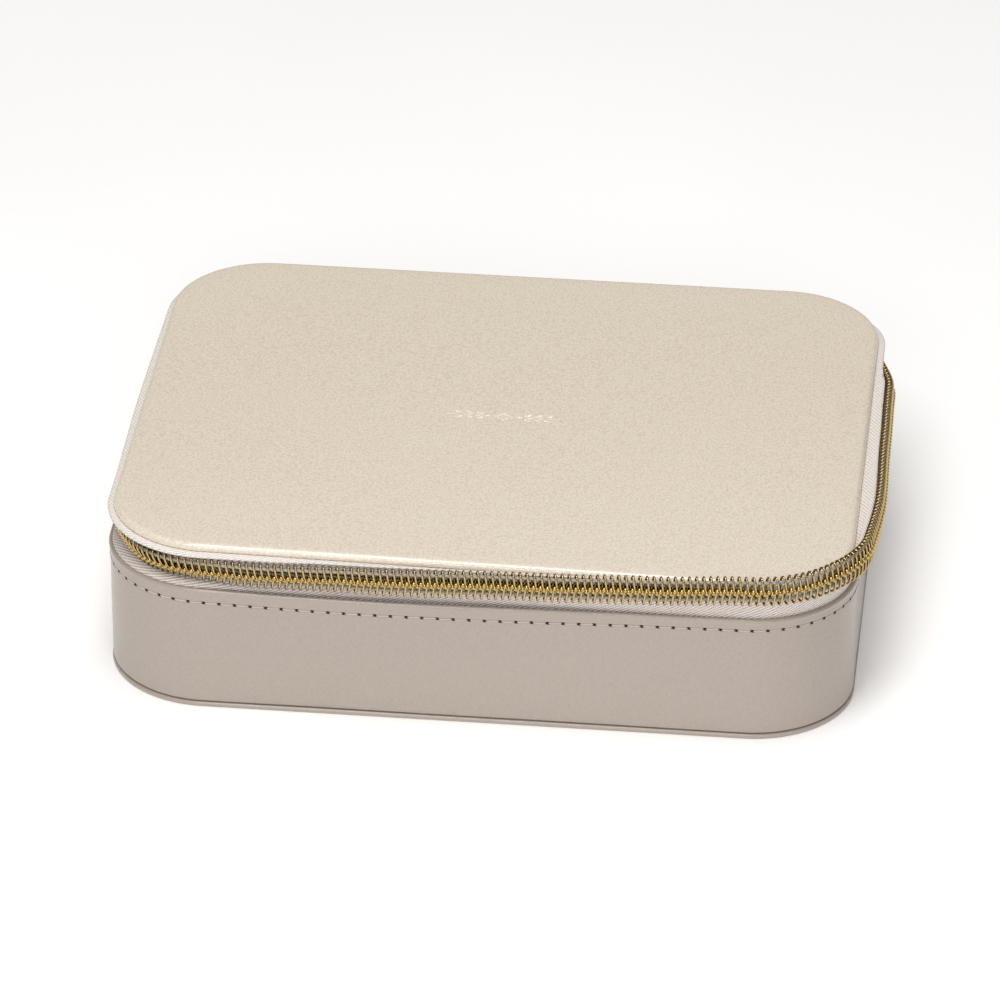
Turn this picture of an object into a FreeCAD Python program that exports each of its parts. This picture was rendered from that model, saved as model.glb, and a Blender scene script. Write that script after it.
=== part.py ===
import FreeCAD, Part
import math
import os

# Zipped jewelry box: a low case with rounded corners and a flat lid that folds back on a soft spine.
# Millimetres, +Z up. The origin is the centre of the underside. The front faces -Y, the spine is at +Y.
# A profile point is (out, z): "out" is the distance outside the wall's outer face, negative inwards.

Vector = FreeCAD.Vector

# Driving dimensions
WIDTH = 210.0
DEPTH = 172.0
CORNER_RADIUS = 29.0
HEIGHT = 50.5
BASE_THICKNESS = 1.8
BASE_LIP = 0.8
WALL_TOP = 38.2
LID_INSET = 1.0
LID_EDGE = 2.2

# Sheet materials
SKIN = 0.6
WALL_SKIN = 0.9
FOAM = 0.5
LID_BOARD = 1.2
FRAME_OUT = -1.6
FRAME_IN = -3.8
LINING_IN = -4.8
LINING = 1.0

# Zip
CHAIN_Z = 45.0
CHAIN_DROP = 2.5
DROP_START_Y = 22.0
CHAIN_HALF = 3.7
CHAIN_THICK = 2.8
COIL_GAP = 0.1
COIL_CHAMFER = 0.7
TAPE = 0.7
TAPE_EDGE = 1.4
TAPE_LEAN = 2.0
TAPE_LEAN_LEAST = 0.3
TAPE_FOOT_Z = 30.0
TAPE_FLANGE = 9.0
TAIL_END_X = 42.7
TAPE_END_X = 38.5
STOP_GAP = 1.0
STOP_HALF = 2.6
STOP_PROUD = 0.2
STOP_ROUND = 0.5

# Spine and hinge
SPINE_HALF = 38.0
SPINE_THICK = 0.8
SPINE_FOOT_Z = 32.0
HINGE_LINING_HALF = 68.0
HINGE_LINING_FOOT = 8.0
HINGE_LINING_DROP = 6.0

# Zip slider, parked on the back at the left end of the zip
SLIDER_X = -46.0
SLIDER_LENGTH = 13.0
PLATE = 1.0
PLATE_CHAMFER = 0.7
PLATE_GAP = 0.25
BACK_PLATE = 0.8
BACK_GAP = 0.4
WEDGE_LENGTH = 2.6
WEDGE_HALF = 1.0
FLANGE_GAP = 0.2
FLANGE_FROM = 3.9
FLANGE_TO = 4.7
BEVEL = 1.6
BAIL_RISE = 1.5
BAIL_HALF = 1.2
BAIL_LEG = 0.7
BAIL_ROOT = 0.2
BAIL_BAR = 1.0
BAIL_ROUND = 0.45
BAIL_LEFT_X = SLIDER_X - 4.4
PULL_X = SLIDER_X + 3.6
PULL_LENGTH = 27.0
EYE_RADIUS = 3.2
EYE_HOLE = 1.9
TIP_RADIUS = 3.6
TIP_HOLE = 1.6
NECK_HALF = 2.2

# Inside of the case
GAP = 0.3
ROLL_COUNT = 7
ROLL_GAP = 2.6
ROLL_HEIGHT = 27.0
ROLL_END_X = -19.0
DIVIDER = 3.0
DIVIDER_HEIGHT = 33.0
LONG_DIVIDER_X = -16.7
CROSS_DIVIDER_Y = 20.0
SHORT_DIVIDER_X = 42.5

# Mirror under the lid
MIRROR_WIDTH = 140.0
MIRROR_DEPTH = 100.0
MIRROR_Y = -4.0
MIRROR_THICK = 1.2
MIRROR_BORDER = 6.0
MIRROR_FRAME = 1.6
MIRROR_CORNER = 8.0
MIRROR_PLAY = 0.1

# Stitching below the hem
STITCH_Z = WALL_TOP - 4.2
STITCH_PITCH = 4.5
STITCH_LENGTH = 3.1
STITCH_THICK = 0.45

# Reach within which an edge counts as lying on a face
TOUCH = 0.01

half_x = WIDTH / 2
half_y = DEPTH / 2
corner_x = half_x - CORNER_RADIUS
corner_y = half_y - CORNER_RADIUS
back_chain_z = CHAIN_Z - CHAIN_DROP
floor_top = BASE_THICKNESS + LINING
lid_seam = HEIGHT - LID_EDGE
board_top = HEIGHT - SKIN - FOAM
board_bottom = board_top - LID_BOARD
flange_bottom = board_bottom - SKIN
lid_lining_bottom = flange_bottom - SKIN
inner_half_x = half_x + LINING_IN
inner_half_y = half_y + LINING_IN


def outline(out, z, hx=half_x, hy=half_y, radius=CORNER_RADIUS, centre_y=0.0):
    """Closed wire of a rounded rectangle, grown outwards by out."""
    x, y, r = hx + out, hy + out, radius + out
    edges = []
    turn = math.radians(45)
    for quarter, (sx, sy) in enumerate([(1, 1), (-1, 1), (-1, -1), (1, -1)]):
        centre = Vector(sx * (x - r), sy * (y - r) + centre_y, z)
        start, middle, end = (
            centre + Vector(r * math.cos(a), r * math.sin(a), 0)
            for a in (math.radians(90 * quarter) + turn * step for step in range(3))
        )
        if edges:
            edges.append(Part.LineSegment(last, start))
        else:
            first = start
        edges.append(Part.Arc(start, middle, end))
        last = end
    edges.append(Part.LineSegment(last, first))
    return Part.Wire([edge.toShape() for edge in edges])


def slab(out, low, high, **shape):
    """Solid rounded-rectangle plate between two heights."""
    return Part.Face(outline(out, low, **shape)).extrude(Vector(0, 0, high - low))


def band(outer, inner, low, high):
    """Closed ring of wall between two offsets and two heights."""
    return slab(outer, low, high).cut(slab(inner, low, high))


def block(x0, x1, y0, y1, z0, z1):
    return Part.makeBox(x1 - x0, y1 - y0, z1 - z0, Vector(x0, y0, z0))


def placed(profile, start, outward):
    """Closed wire of a profile standing on a point of the outline, facing outwards."""
    points = [start + outward * out + Vector(0, 0, z) for out, z in profile]
    return Part.makePolygon(points + points[:1])


def straight(profile, start, end, outward):
    """Profile carried along a straight stretch of the wall."""
    return Part.Face(placed(profile, start, outward)).extrude(end - start)


def slanted(front, back, start, end, outward):
    """Straight stretch on which one profile passes over into another."""
    return Part.makeLoft([placed(front, start, outward), placed(back, end, outward)], True, True)


def corner(profile, centre, start_deg):
    """Profile carried round one corner, a quarter turn from start_deg."""
    angle = math.radians(start_deg)
    outward = Vector(math.cos(angle), math.sin(angle), 0)
    face = Part.Face(placed(profile, centre + outward * CORNER_RADIUS, outward))
    return face.revolve(centre, Vector(0, 0, 1), 90)


def back_run(profile, x0, x1):
    """Profile along the back wall between two places."""
    return straight(profile, Vector(x0, half_y, 0), Vector(x1, half_y, 0), Vector(0, 1, 0))


def three_sides(make_profile):
    """Sweep round the left side, the front, the right side and all four corners.

    make_profile gives the profile for a height of the chain: the chain runs lower round the back corners
    than along the front, and comes down along the rear part of each side.
    """
    front, back = make_profile(CHAIN_Z), make_profile(back_chain_z)
    pieces = [
        corner(back, Vector(-corner_x, corner_y, 0), 90),
        corner(front, Vector(-corner_x, -corner_y, 0), 180),
        straight(front, Vector(-corner_x, -half_y, 0), Vector(corner_x, -half_y, 0), Vector(0, -1, 0)),
        corner(front, Vector(corner_x, -corner_y, 0), 270),
        corner(back, Vector(corner_x, corner_y, 0), 0),
    ]
    for side in (-1, 1):
        outward = Vector(side, 0, 0)
        low, bend, high = (Vector(side * half_x, y, 0) for y in (-corner_y, DROP_START_Y, corner_y))
        pieces.append(straight(front, low, bend, outward))
        pieces.append(slanted(front, back, bend, high, outward))
    return pieces[0].multiFuse(pieces[1:]).removeSplitter()


def with_tails(make_profile, end_x):
    """The three sides plus a run along the back on each side, up to end_x from the middle."""
    tails = [left_tail(make_profile, end_x), right_tail(make_profile, end_x)]
    return three_sides(make_profile).multiFuse(tails).removeSplitter()


def left_tail(make_profile, end_x):
    return back_run(make_profile(back_chain_z), -end_x, -corner_x)


def right_tail(make_profile, end_x):
    return back_run(make_profile(back_chain_z), corner_x, end_x)


def coil_profile(low, high):
    """One half of the zip chain: its outer edges are chamfered like the coil's round loops."""
    cut = COIL_CHAMFER
    return [
        (0.0, low),
        (CHAIN_THICK - cut, low),
        (CHAIN_THICK, low + cut),
        (CHAIN_THICK, high - cut),
        (CHAIN_THICK - cut, high),
        (0.0, high),
    ]


def inside(solid, clearance):
    """Trims a solid to the rounded inside of the lined case."""
    return solid.common(slab(LINING_IN - clearance, 0, HEIGHT))


# ---- case ----


def base_cover():
    """Leatherette tray wrapped round the base board; its edge shows as a thin lip round the foot."""
    tray = slab(BASE_LIP, 0, BASE_THICKNESS)
    return tray.cut(slab(BASE_LIP - SKIN, SKIN, BASE_THICKNESS))


def base_board():
    return slab(BASE_LIP - SKIN, SKIN, BASE_THICKNESS)


def wall_frame():
    return band(FRAME_OUT, FRAME_IN, BASE_THICKNESS, WALL_TOP - SKIN)


def wall_cover():
    return band(0, -WALL_SKIN, BASE_THICKNESS, WALL_TOP)


def wall_padding():
    return band(-WALL_SKIN, FRAME_OUT, BASE_THICKNESS, TAPE_FOOT_Z)


def wall_lining():
    return band(FRAME_IN, LINING_IN, floor_top, WALL_TOP - SKIN)


def floor_lining():
    return slab(FRAME_IN, BASE_THICKNESS, floor_top)


def hem_stitching():
    """Row of thread stitches round the case just below the hem; the spine covers the middle of the back."""
    straights = [
        (Vector(-corner_x, -half_y, 0), Vector(1, 0, 0), 2 * corner_x),
        (Vector(half_x, -corner_y, 0), Vector(0, 1, 0), 2 * corner_y),
        (Vector(-half_x, corner_y, 0), Vector(0, -1, 0), 2 * corner_y),
        (Vector(corner_x, half_y, 0), Vector(-1, 0, 0), corner_x - SPINE_HALF),
        (Vector(-SPINE_HALF, half_y, 0), Vector(-1, 0, 0), corner_x - SPINE_HALF),
    ]
    stitches = []
    for start, along, length in straights:
        count = int(length // STITCH_PITCH)
        for index in range(count):
            middle = start + along * ((index + 0.5) * length / count)
            stitches.append(stitch(middle, math.atan2(along.y, along.x)))
    arc = CORNER_RADIUS * math.pi / 2
    count = int(arc // STITCH_PITCH)
    for sx, sy, start_deg in [(1, 1, 0), (-1, 1, 90), (-1, -1, 180), (1, -1, 270)]:
        for index in range(count):
            angle = math.radians(start_deg + 90 * (index + 0.5) / count)
            reach = Vector(math.cos(angle), math.sin(angle), 0) * CORNER_RADIUS
            middle = Vector(sx * corner_x, sy * corner_y, 0) + reach
            stitches.append(stitch(middle, angle + math.pi / 2))
    return Part.makeCompound(stitches)


def stitch(middle, angle):
    """One stitch lying on the wall's face, along the direction of angle."""
    thread = Part.makeBox(
        STITCH_LENGTH,
        STITCH_THICK,
        STITCH_THICK,
        Vector(-STITCH_LENGTH / 2, -STITCH_THICK, -STITCH_THICK / 2),
    )
    thread.rotate(Vector(0, 0, 0), Vector(0, 0, 1), math.degrees(angle))
    thread.translate(Vector(middle.x, middle.y, STITCH_Z))
    return thread


def lower_tape_profile(chain_z):
    """Held between wall cover and frame, the tape leans out above the hem and ends behind the coil."""
    top = chain_z - TAPE_EDGE
    lean = WALL_TOP + max(TAPE_LEAN - (CHAIN_Z - chain_z), TAPE_LEAN_LEAST)
    return [
        (-WALL_SKIN, TAPE_FOOT_Z),
        (-WALL_SKIN, WALL_TOP),
        (0.0, lean),
        (0.0, top),
        (-TAPE, top),
        (-TAPE, lean),
        (-WALL_SKIN - TAPE, WALL_TOP),
        (-WALL_SKIN - TAPE, TAPE_FOOT_Z),
    ]


def upper_tape_profile(chain_z):
    """Sewn flat under the lid board, the tape turns down behind the upper coil."""
    edge = chain_z + TAPE_EDGE
    return [
        (-TAPE_FLANGE, board_bottom),
        (0.0, board_bottom),
        (0.0, edge),
        (-TAPE, edge),
        (-TAPE, flange_bottom),
        (-TAPE_FLANGE, flange_bottom),
    ]


def lower_coil_profile(chain_z):
    return coil_profile(chain_z - CHAIN_HALF, chain_z - COIL_GAP)


def upper_coil_profile(chain_z):
    return coil_profile(chain_z + COIL_GAP, chain_z + CHAIN_HALF)


def bottom_stop():
    """Metal clip that closes the right end of the zip."""
    x0, x1 = TAPE_END_X + STOP_GAP, TAIL_END_X - STOP_GAP
    face = half_y + CHAIN_THICK + STOP_PROUD
    clip = block(x0, x1, half_y, face, back_chain_z - STOP_HALF, back_chain_z + STOP_HALF)
    return clip.makeFillet(STOP_ROUND, [edge for edge in clip.Edges if edge.BoundBox.YMin > face - TOUCH])


def hinge_spine():
    """Leatherette strip sewn over the back wall and under the lid; it bends as the lid opens."""
    leg = [
        (0.0, SPINE_FOOT_Z),
        (SPINE_THICK, SPINE_FOOT_Z),
        (SPINE_THICK, board_bottom),
        (-TAPE_FLANGE, board_bottom),
        (-TAPE_FLANGE, flange_bottom),
        (0.0, flange_bottom),
    ]
    return back_run(leg, -SPINE_HALF, SPINE_HALF)


def hinge_lining():
    """Velvet strip that hides the joint inside the back; it bends as the lid opens."""
    face = LINING_IN - GAP
    inner = face - SKIN
    top = lid_lining_bottom
    foot = WALL_TOP - HINGE_LINING_DROP
    leg = [
        (face, foot),
        (face, top),
        (face - HINGE_LINING_FOOT, top),
        (face - HINGE_LINING_FOOT, top - SKIN),
        (inner, top - SKIN),
        (inner, foot),
    ]
    return back_run(leg, -HINGE_LINING_HALF, HINGE_LINING_HALF)


def divider_long():
    """Separates the ring rolls from the compartments; its back end stays clear of the hinge lining."""
    front_y, back_y = GAP - inner_half_y, inner_half_y - SKIN - 3 * GAP
    x0 = LONG_DIVIDER_X - DIVIDER / 2
    return block(x0, x0 + DIVIDER, front_y, back_y, floor_top, floor_top + DIVIDER_HEIGHT)


def divider_cross():
    x0 = LONG_DIVIDER_X + DIVIDER / 2
    y0 = CROSS_DIVIDER_Y - DIVIDER / 2
    return block(x0, inner_half_x - GAP, y0, y0 + DIVIDER, floor_top, floor_top + DIVIDER_HEIGHT)


def divider_short():
    x0 = SHORT_DIVIDER_X - DIVIDER / 2
    y1 = CROSS_DIVIDER_Y - DIVIDER / 2
    return block(x0, x0 + DIVIDER, GAP - inner_half_y, y1, floor_top, floor_top + DIVIDER_HEIGHT)


def ring_roll(index):
    """Padded roll with a round top; rings are pushed into the slots between the rolls."""
    margin = 2 * GAP
    room = 2 * (inner_half_y - margin)
    width = (room - (ROLL_COUNT - 1) * ROLL_GAP) / ROLL_COUNT
    y0 = margin - inner_half_y + index * (width + ROLL_GAP)
    x0 = -inner_half_x
    straight_height = ROLL_HEIGHT - width / 2
    low = floor_top + GAP
    body = block(x0, ROLL_END_X, y0, y0 + width, low, low + straight_height)
    crown = Part.makeCylinder(
        width / 2, ROLL_END_X - x0, Vector(x0, y0 + width / 2, low + straight_height), Vector(1, 0, 0)
    )
    return inside(body.fuse(crown).removeSplitter(), margin)


# ---- lid ----


def lid_cover():
    """Leatherette skin over the top and down the edge of the lid."""
    skin = slab(-LID_INSET, lid_seam, HEIGHT)
    edges = [edge for edge in skin.Edges if edge.BoundBox.ZMin > HEIGHT - TOUCH]
    rounded = skin.makeFillet(SKIN, edges)
    return rounded.cut(slab(-LID_INSET - SKIN, lid_seam, HEIGHT - SKIN))


def lid_foam():
    return slab(-LID_INSET - SKIN, board_top, HEIGHT - SKIN)


def lid_board():
    return slab(-LID_INSET - SKIN, board_bottom, board_top)


def lid_pad():
    """Thin pad that fills the middle between the sewn tape flanges."""
    return slab(-TAPE_FLANGE, flange_bottom, board_bottom)


def lid_lining():
    return slab(LINING_IN - LINING, lid_lining_bottom, flange_bottom)


def mirror_outline(grow, low, high):
    return slab(
        grow,
        low,
        high,
        hx=MIRROR_WIDTH / 2,
        hy=MIRROR_DEPTH / 2,
        radius=MIRROR_CORNER,
        centre_y=MIRROR_Y,
    )


def mirror_frame():
    low = lid_lining_bottom - MIRROR_FRAME
    hole = mirror_outline(0, low, lid_lining_bottom)
    return mirror_outline(MIRROR_BORDER, low, lid_lining_bottom).cut(hole)


def mirror():
    return mirror_outline(-MIRROR_PLAY, lid_lining_bottom - MIRROR_THICK, lid_lining_bottom)


# ---- zip slider and pull ----


def slider_body():
    """Two plates joined by a wedge at the end of the zip; flanges hold the coils, a bail holds the pull."""
    x0 = SLIDER_X - SLIDER_LENGTH / 2
    x1 = SLIDER_X + SLIDER_LENGTH / 2
    inner_face = half_y + CHAIN_THICK + PLATE_GAP
    outer_face = inner_face + PLATE
    shield = [
        (x0, FLANGE_TO - BEVEL),
        (x0 + BEVEL, FLANGE_TO),
        (x1 - BEVEL, FLANGE_TO),
        (x1, FLANGE_TO - BEVEL),
        (x1, BEVEL - FLANGE_TO),
        (x1 - BEVEL, -FLANGE_TO),
        (x0 + BEVEL, -FLANGE_TO),
        (x0, BEVEL - FLANGE_TO),
    ]
    points = [Vector(x, inner_face, back_chain_z + z) for x, z in shield]
    plate = Part.Face(Part.makePolygon(points + points[:1])).extrude(Vector(0, PLATE, 0))
    rim = [edge for edge in plate.Edges if edge.BoundBox.YMin > outer_face - TOUCH]
    plate = plate.makeChamfer(PLATE_CHAMFER, rim)
    flanges = [
        block(
            x0 + BEVEL,
            x1 - BEVEL,
            half_y + FLANGE_GAP,
            inner_face,
            back_chain_z + low,
            back_chain_z + low + FLANGE_TO - FLANGE_FROM,
        )
        for low in (FLANGE_FROM, -FLANGE_TO)
    ]
    back_face = half_y - TAPE - BACK_GAP
    back_low, back_high = WALL_TOP + BACK_GAP, flange_bottom - GAP
    back_plate = block(x0, x1, back_face - BACK_PLATE, back_face, back_low, back_high)
    wedge_low, wedge_high = back_chain_z - WEDGE_HALF, back_chain_z + WEDGE_HALF
    wedge = block(x1 - WEDGE_LENGTH, x1 - GAP, back_face, inner_face, wedge_low, wedge_high)
    return plate.multiFuse(flanges + [back_plate, wedge, bail(outer_face)]).removeSplitter()


def bail(outer_face):
    """Small bridge on the slider: the pull's eye turns on its right leg and passes under its bar."""
    bar_y = outer_face + BAIL_RISE
    low, high = back_chain_z - BAIL_HALF, back_chain_z + BAIL_HALF
    legs = [
        block(x - BAIL_LEG, x + BAIL_LEG, outer_face - BAIL_ROOT, bar_y, low, high)
        for x in (BAIL_LEFT_X, PULL_X)
    ]
    bar = block(BAIL_LEFT_X - BAIL_LEG, PULL_X + BAIL_LEG, bar_y, bar_y + BAIL_BAR, low, high)
    crown = [edge for edge in bar.Edges if edge.BoundBox.YMin > bar_y + BAIL_BAR - TOUCH]
    return bar.makeFillet(BAIL_ROUND, crown).multiFuse(legs)


def pull_tab():
    """Flat tapered tab hanging from the bail by its eye."""
    face = half_y + CHAIN_THICK + PLATE_GAP + PLATE + GAP
    thick = BAIL_RISE - 2 * GAP
    tip_z = back_chain_z - PULL_LENGTH + TIP_RADIUS
    out = Vector(0, 1, 0)
    eye = Part.makeCylinder(EYE_RADIUS, thick, Vector(PULL_X, face, back_chain_z), out)
    tip = Part.makeCylinder(TIP_RADIUS, thick, Vector(PULL_X, face, tip_z), out)
    sides = [
        Vector(PULL_X - NECK_HALF, face, back_chain_z),
        Vector(PULL_X + NECK_HALF, face, back_chain_z),
        Vector(PULL_X + TIP_RADIUS, face, tip_z),
        Vector(PULL_X - TIP_RADIUS, face, tip_z),
    ]
    blade = Part.Face(Part.makePolygon(sides + sides[:1])).extrude(out * thick)
    tab = blade.multiFuse([eye, tip]).removeSplitter()
    for radius, z in ((EYE_HOLE, back_chain_z), (TIP_HOLE, tip_z)):
        tab = tab.cut(Part.makeCylinder(radius, thick, Vector(PULL_X, face, z), out))
    return tab


nodes = {
    "base_cover": base_cover(),
    "base_board": base_board(),
    "wall_frame": wall_frame(),
    "wall_padding": wall_padding(),
    "wall_cover": wall_cover(),
    "hem_stitching": hem_stitching(),
    "wall_lining": wall_lining(),
    "floor_lining": floor_lining(),
    "divider_long": divider_long(),
    "divider_cross": divider_cross(),
    "divider_short": divider_short(),
    "lower_zip_tape": with_tails(lower_tape_profile, TAPE_END_X),
    "lower_zip_coil": three_sides(lower_coil_profile),
    "lower_coil_tail_left": left_tail(lower_coil_profile, TAIL_END_X),
    "lower_coil_tail_right": right_tail(lower_coil_profile, TAIL_END_X),
    "zip_bottom_stop": bottom_stop(),
    "hinge_spine": hinge_spine(),
    "hinge_lining": hinge_lining(),
    "lid_cover": lid_cover(),
    "lid_foam": lid_foam(),
    "lid_board": lid_board(),
    "lid_pad": lid_pad(),
    "lid_lining": lid_lining(),
    "mirror_frame": mirror_frame(),
    "mirror": mirror(),
    "upper_zip_tape": three_sides(upper_tape_profile),
    "upper_tape_tail_left": left_tail(upper_tape_profile, TAPE_END_X),
    "upper_tape_tail_right": right_tail(upper_tape_profile, TAPE_END_X),
    "upper_zip_coil": three_sides(upper_coil_profile),
    "upper_coil_tail_left": left_tail(upper_coil_profile, TAIL_END_X),
    "upper_coil_tail_right": right_tail(upper_coil_profile, TAIL_END_X),
    "zip_slider": slider_body(),
    "zip_pull": pull_tab(),
}
for number in range(ROLL_COUNT):
    nodes[f"ring_roll_{number + 1}"] = ring_roll(number)

os.makedirs("parts", exist_ok=True)
for name, shape in nodes.items():
    if not shape.isValid():
        raise ValueError(f"{name} is not a valid shape")
    shape.exportStep(f"parts/{name}.step")
    print(f"{name}: {len(shape.Solids)} solid(s), {shape.Volume:.0f} mm3")
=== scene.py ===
import bmesh
import bpy
import math
from mathutils import Matrix, Vector, noise


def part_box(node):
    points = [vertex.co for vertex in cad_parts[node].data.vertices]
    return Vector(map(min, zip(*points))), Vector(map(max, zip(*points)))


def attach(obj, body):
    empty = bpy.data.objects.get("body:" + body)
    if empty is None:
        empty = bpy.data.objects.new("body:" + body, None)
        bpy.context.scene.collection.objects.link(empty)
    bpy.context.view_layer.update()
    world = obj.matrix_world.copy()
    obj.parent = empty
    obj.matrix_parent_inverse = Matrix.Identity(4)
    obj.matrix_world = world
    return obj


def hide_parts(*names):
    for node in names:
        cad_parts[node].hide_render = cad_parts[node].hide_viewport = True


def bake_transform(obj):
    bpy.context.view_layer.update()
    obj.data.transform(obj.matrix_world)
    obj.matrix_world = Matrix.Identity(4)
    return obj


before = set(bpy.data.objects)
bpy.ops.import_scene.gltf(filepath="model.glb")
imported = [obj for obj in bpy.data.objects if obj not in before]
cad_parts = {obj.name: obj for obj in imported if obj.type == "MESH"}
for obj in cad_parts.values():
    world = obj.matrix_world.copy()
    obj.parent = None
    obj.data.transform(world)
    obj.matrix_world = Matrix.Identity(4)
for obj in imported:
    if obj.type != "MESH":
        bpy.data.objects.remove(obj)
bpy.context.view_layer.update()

# Zipped jewelry box. Lengths are millimetres; meshes are made in metres. +Z up, the front faces -Y.
# "s" is the way round the wall's outer face in mm, from the middle of the back, by the left side, the front
# and the right side. "out" is the distance outside that face. A section point is (out, z).
MM = 0.001
UP = Vector((0, 0, 1))


def box_mm(node):
    low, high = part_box(node)
    return low / MM, high / MM


_, wall_high = box_mm("wall_cover")
lid_low, lid_high = box_mm("lid_cover")
_, base_high = box_mm("base_cover")
lining_low, _ = box_mm("wall_lining")
flange_low, flange_high = box_mm("lid_pad")
lid_lining_low, lid_lining_high = box_mm("lid_lining")
coil_tail_low, coil_tail_high = box_mm("lower_coil_tail_left")
_, upper_tail_high = box_mm("upper_coil_tail_left")
_, tape_tail_high = box_mm("upper_tape_tail_left")
_, front_coil_high = box_mm("upper_zip_coil")
lower_tape_low, _ = box_mm("lower_zip_tape")
spine_low, spine_high = box_mm("hinge_spine")
hinge_lining_low, hinge_lining_high = box_mm("hinge_lining")
stitch_low, stitch_high = box_mm("hem_stitching")
mirror_low, mirror_high = box_mm("mirror")
mirror_frame_low, mirror_frame_high = box_mm("mirror_frame")

CORNER_RADIUS = 29.0
HALF_X = wall_high.x
HALF_Y = wall_high.y
CORNER_X = HALF_X - CORNER_RADIUS
CORNER_Y = HALF_Y - CORNER_RADIUS
HEM_Z = wall_high.z
BASE_TOP = base_high.z
LID_TOP = lid_high.z
LID_SEAM = lid_low.z
LID_INSET = HALF_X - lid_high.x
FLANGE_Z = (flange_low.z + flange_high.z) / 2
FLANGE_OUT = flange_high.x - HALF_X
STITCH_Z = (stitch_low.z + stitch_high.z) / 2
CHAIN_THICK = coil_tail_high.y - HALF_Y
BACK_CHAIN_Z = (coil_tail_low.z + upper_tail_high.z) / 2
CHAIN_HALF = upper_tail_high.z - BACK_CHAIN_Z
CHAIN_Z = front_coil_high.z - CHAIN_HALF
TAIL_END = -coil_tail_high.x
TAPE_END = -tape_tail_high.x
SPINE_HALF = spine_high.x

# The way round
ARC = CORNER_RADIUS * math.pi / 2
RUN_X = 2 * CORNER_X
RUN_Y = 2 * CORNER_Y
BACK = 0.0
BACK_LEFT = RUN_X / 2 + ARC / 2
LEFT = BACK_LEFT + ARC / 2 + RUN_Y / 2
FRONT_LEFT = LEFT + RUN_Y / 2 + ARC / 2
FRONT = FRONT_LEFT + ARC / 2 + RUN_X / 2
FRONT_RIGHT = FRONT + RUN_X / 2 + ARC / 2
RIGHT = FRONT_RIGHT + ARC / 2 + RUN_Y / 2
BACK_RIGHT = RIGHT + RUN_Y / 2 + ARC / 2
ROUND = BACK_RIGHT + ARC / 2 + RUN_X / 2

# How the soft zip lies: keys are (place on the way round, value), in mm and degrees
CHAIN_OUT = [
    (BACK, 0.0), (CORNER_X, 0.0), (BACK_LEFT, -2.6), (LEFT, -2.6), (FRONT_LEFT - 40, -3.0),
    (FRONT_LEFT - 12, -4.6), (FRONT_LEFT + 14, -2.9), (FRONT - 60, -0.8), (FRONT, 0.3), (FRONT_RIGHT, 0.1),
    (RIGHT - 30, 3.3), (RIGHT, 2.75), (RIGHT + 34, 2.3), (BACK_RIGHT - 20, -3.0), (BACK_RIGHT, -3.4),
    (ROUND - CORNER_X, 0.0), (ROUND, 0.0),
]
BACK_RISE = BACK_CHAIN_Z - CHAIN_Z
CHAIN_RISE = [
    (BACK, BACK_RISE), (BACK_LEFT, BACK_RISE), (LEFT, -1.4), (FRONT_LEFT, -0.5), (FRONT - 60, -0.7),
    (FRONT - 30, -0.2), (FRONT + 20, 1.2), (FRONT + 50, 2.1), (FRONT + 75, 3.5), (FRONT_RIGHT, 3.5),
    (RIGHT - 40, 1.5), (RIGHT, 0.6), (BACK_RIGHT, BACK_RISE), (ROUND, BACK_RISE),
]
CHAIN_TILT = [
    (BACK, 0.0), (CORNER_X, 0.0), (LEFT, -15.0), (FRONT_LEFT, -28.0), (FRONT - 60, -15.0), (FRONT, 0.0),
    (FRONT_RIGHT, 4.0), (RIGHT, 2.0), (BACK_RIGHT, 0.0), (ROUND, 0.0),
]
TAPE_BULGE = [
    (BACK, -0.2), (BACK_LEFT, 0.0), (LEFT, 1.1), (FRONT_LEFT - 25, 0.4), (FRONT_LEFT, 0.3),
    (FRONT - 60, 0.5), (FRONT, 0.0), (FRONT_RIGHT, 0.0), (RIGHT, 1.6), (BACK_RIGHT - 20, 0.9),
    (BACK_RIGHT, -0.5), (ROUND, -0.2),
]
HEM_BOW = [
    (BACK, 0.0), (BACK_LEFT, 0.0), (LEFT, 0.1), (FRONT_LEFT, 0.2), (FRONT - 30, 1.0), (FRONT_RIGHT, 0.0),
    (RIGHT, 0.3), (BACK_RIGHT, 0.0), (ROUND, 0.0),
]
HEM_RISE = [
    (BACK, 0.0), (LEFT, 0.0), (FRONT_LEFT, 0.2), (FRONT - 35, -0.5), (FRONT + 50, 0.2), (FRONT_RIGHT, 0.5),
    (RIGHT, 0.0), (ROUND, 0.0),
]
STITCH_RISE = [(BACK, 0.0), (FRONT, 0.0), (FRONT + 70, 0.7), (FRONT_RIGHT, 0.7), (RIGHT, 0.0), (ROUND, 0.0)]
CHAIN_GROWTH = 0.21
LID_LIFT = 0.3
LID_TWIST = 1.3
LID_LIFT_BACK_Y = 60.0

# Zip
COIL_PITCH = 1.95
COIL_SAMPLES = 16
COIL_SIDES = 7
WIRE = 0.34
BEAD_RADIUS = 0.78
HEAD_REACH = -0.3
HEAD_FORWARD = 1.05
CORE_RADIUS = 0.46
CORE_SHARE = 0.58
BEAD_SHAPE = [(-0.8, 0.3), (-0.55, 0.8), (0.0, 1.0), (0.55, 0.8), (0.8, 0.3)]
TAPE_HALF_THICK = 0.3
TAPE_EDGE = 0.5
RIB = 1.85
THREAD_PITCH = 0.5

# Skin, hem and stitches
SKIN_INSIDE = -0.9
HEM_RADIUS = 0.8
HEM_OUT = 0.3
TAPE_FACE = -0.92
LIP_TRIM = 0.55
STITCH_PITCH = 4.36
STITCH_RADIUS = 0.17
HOLE_RADIUS = 0.6


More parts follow.
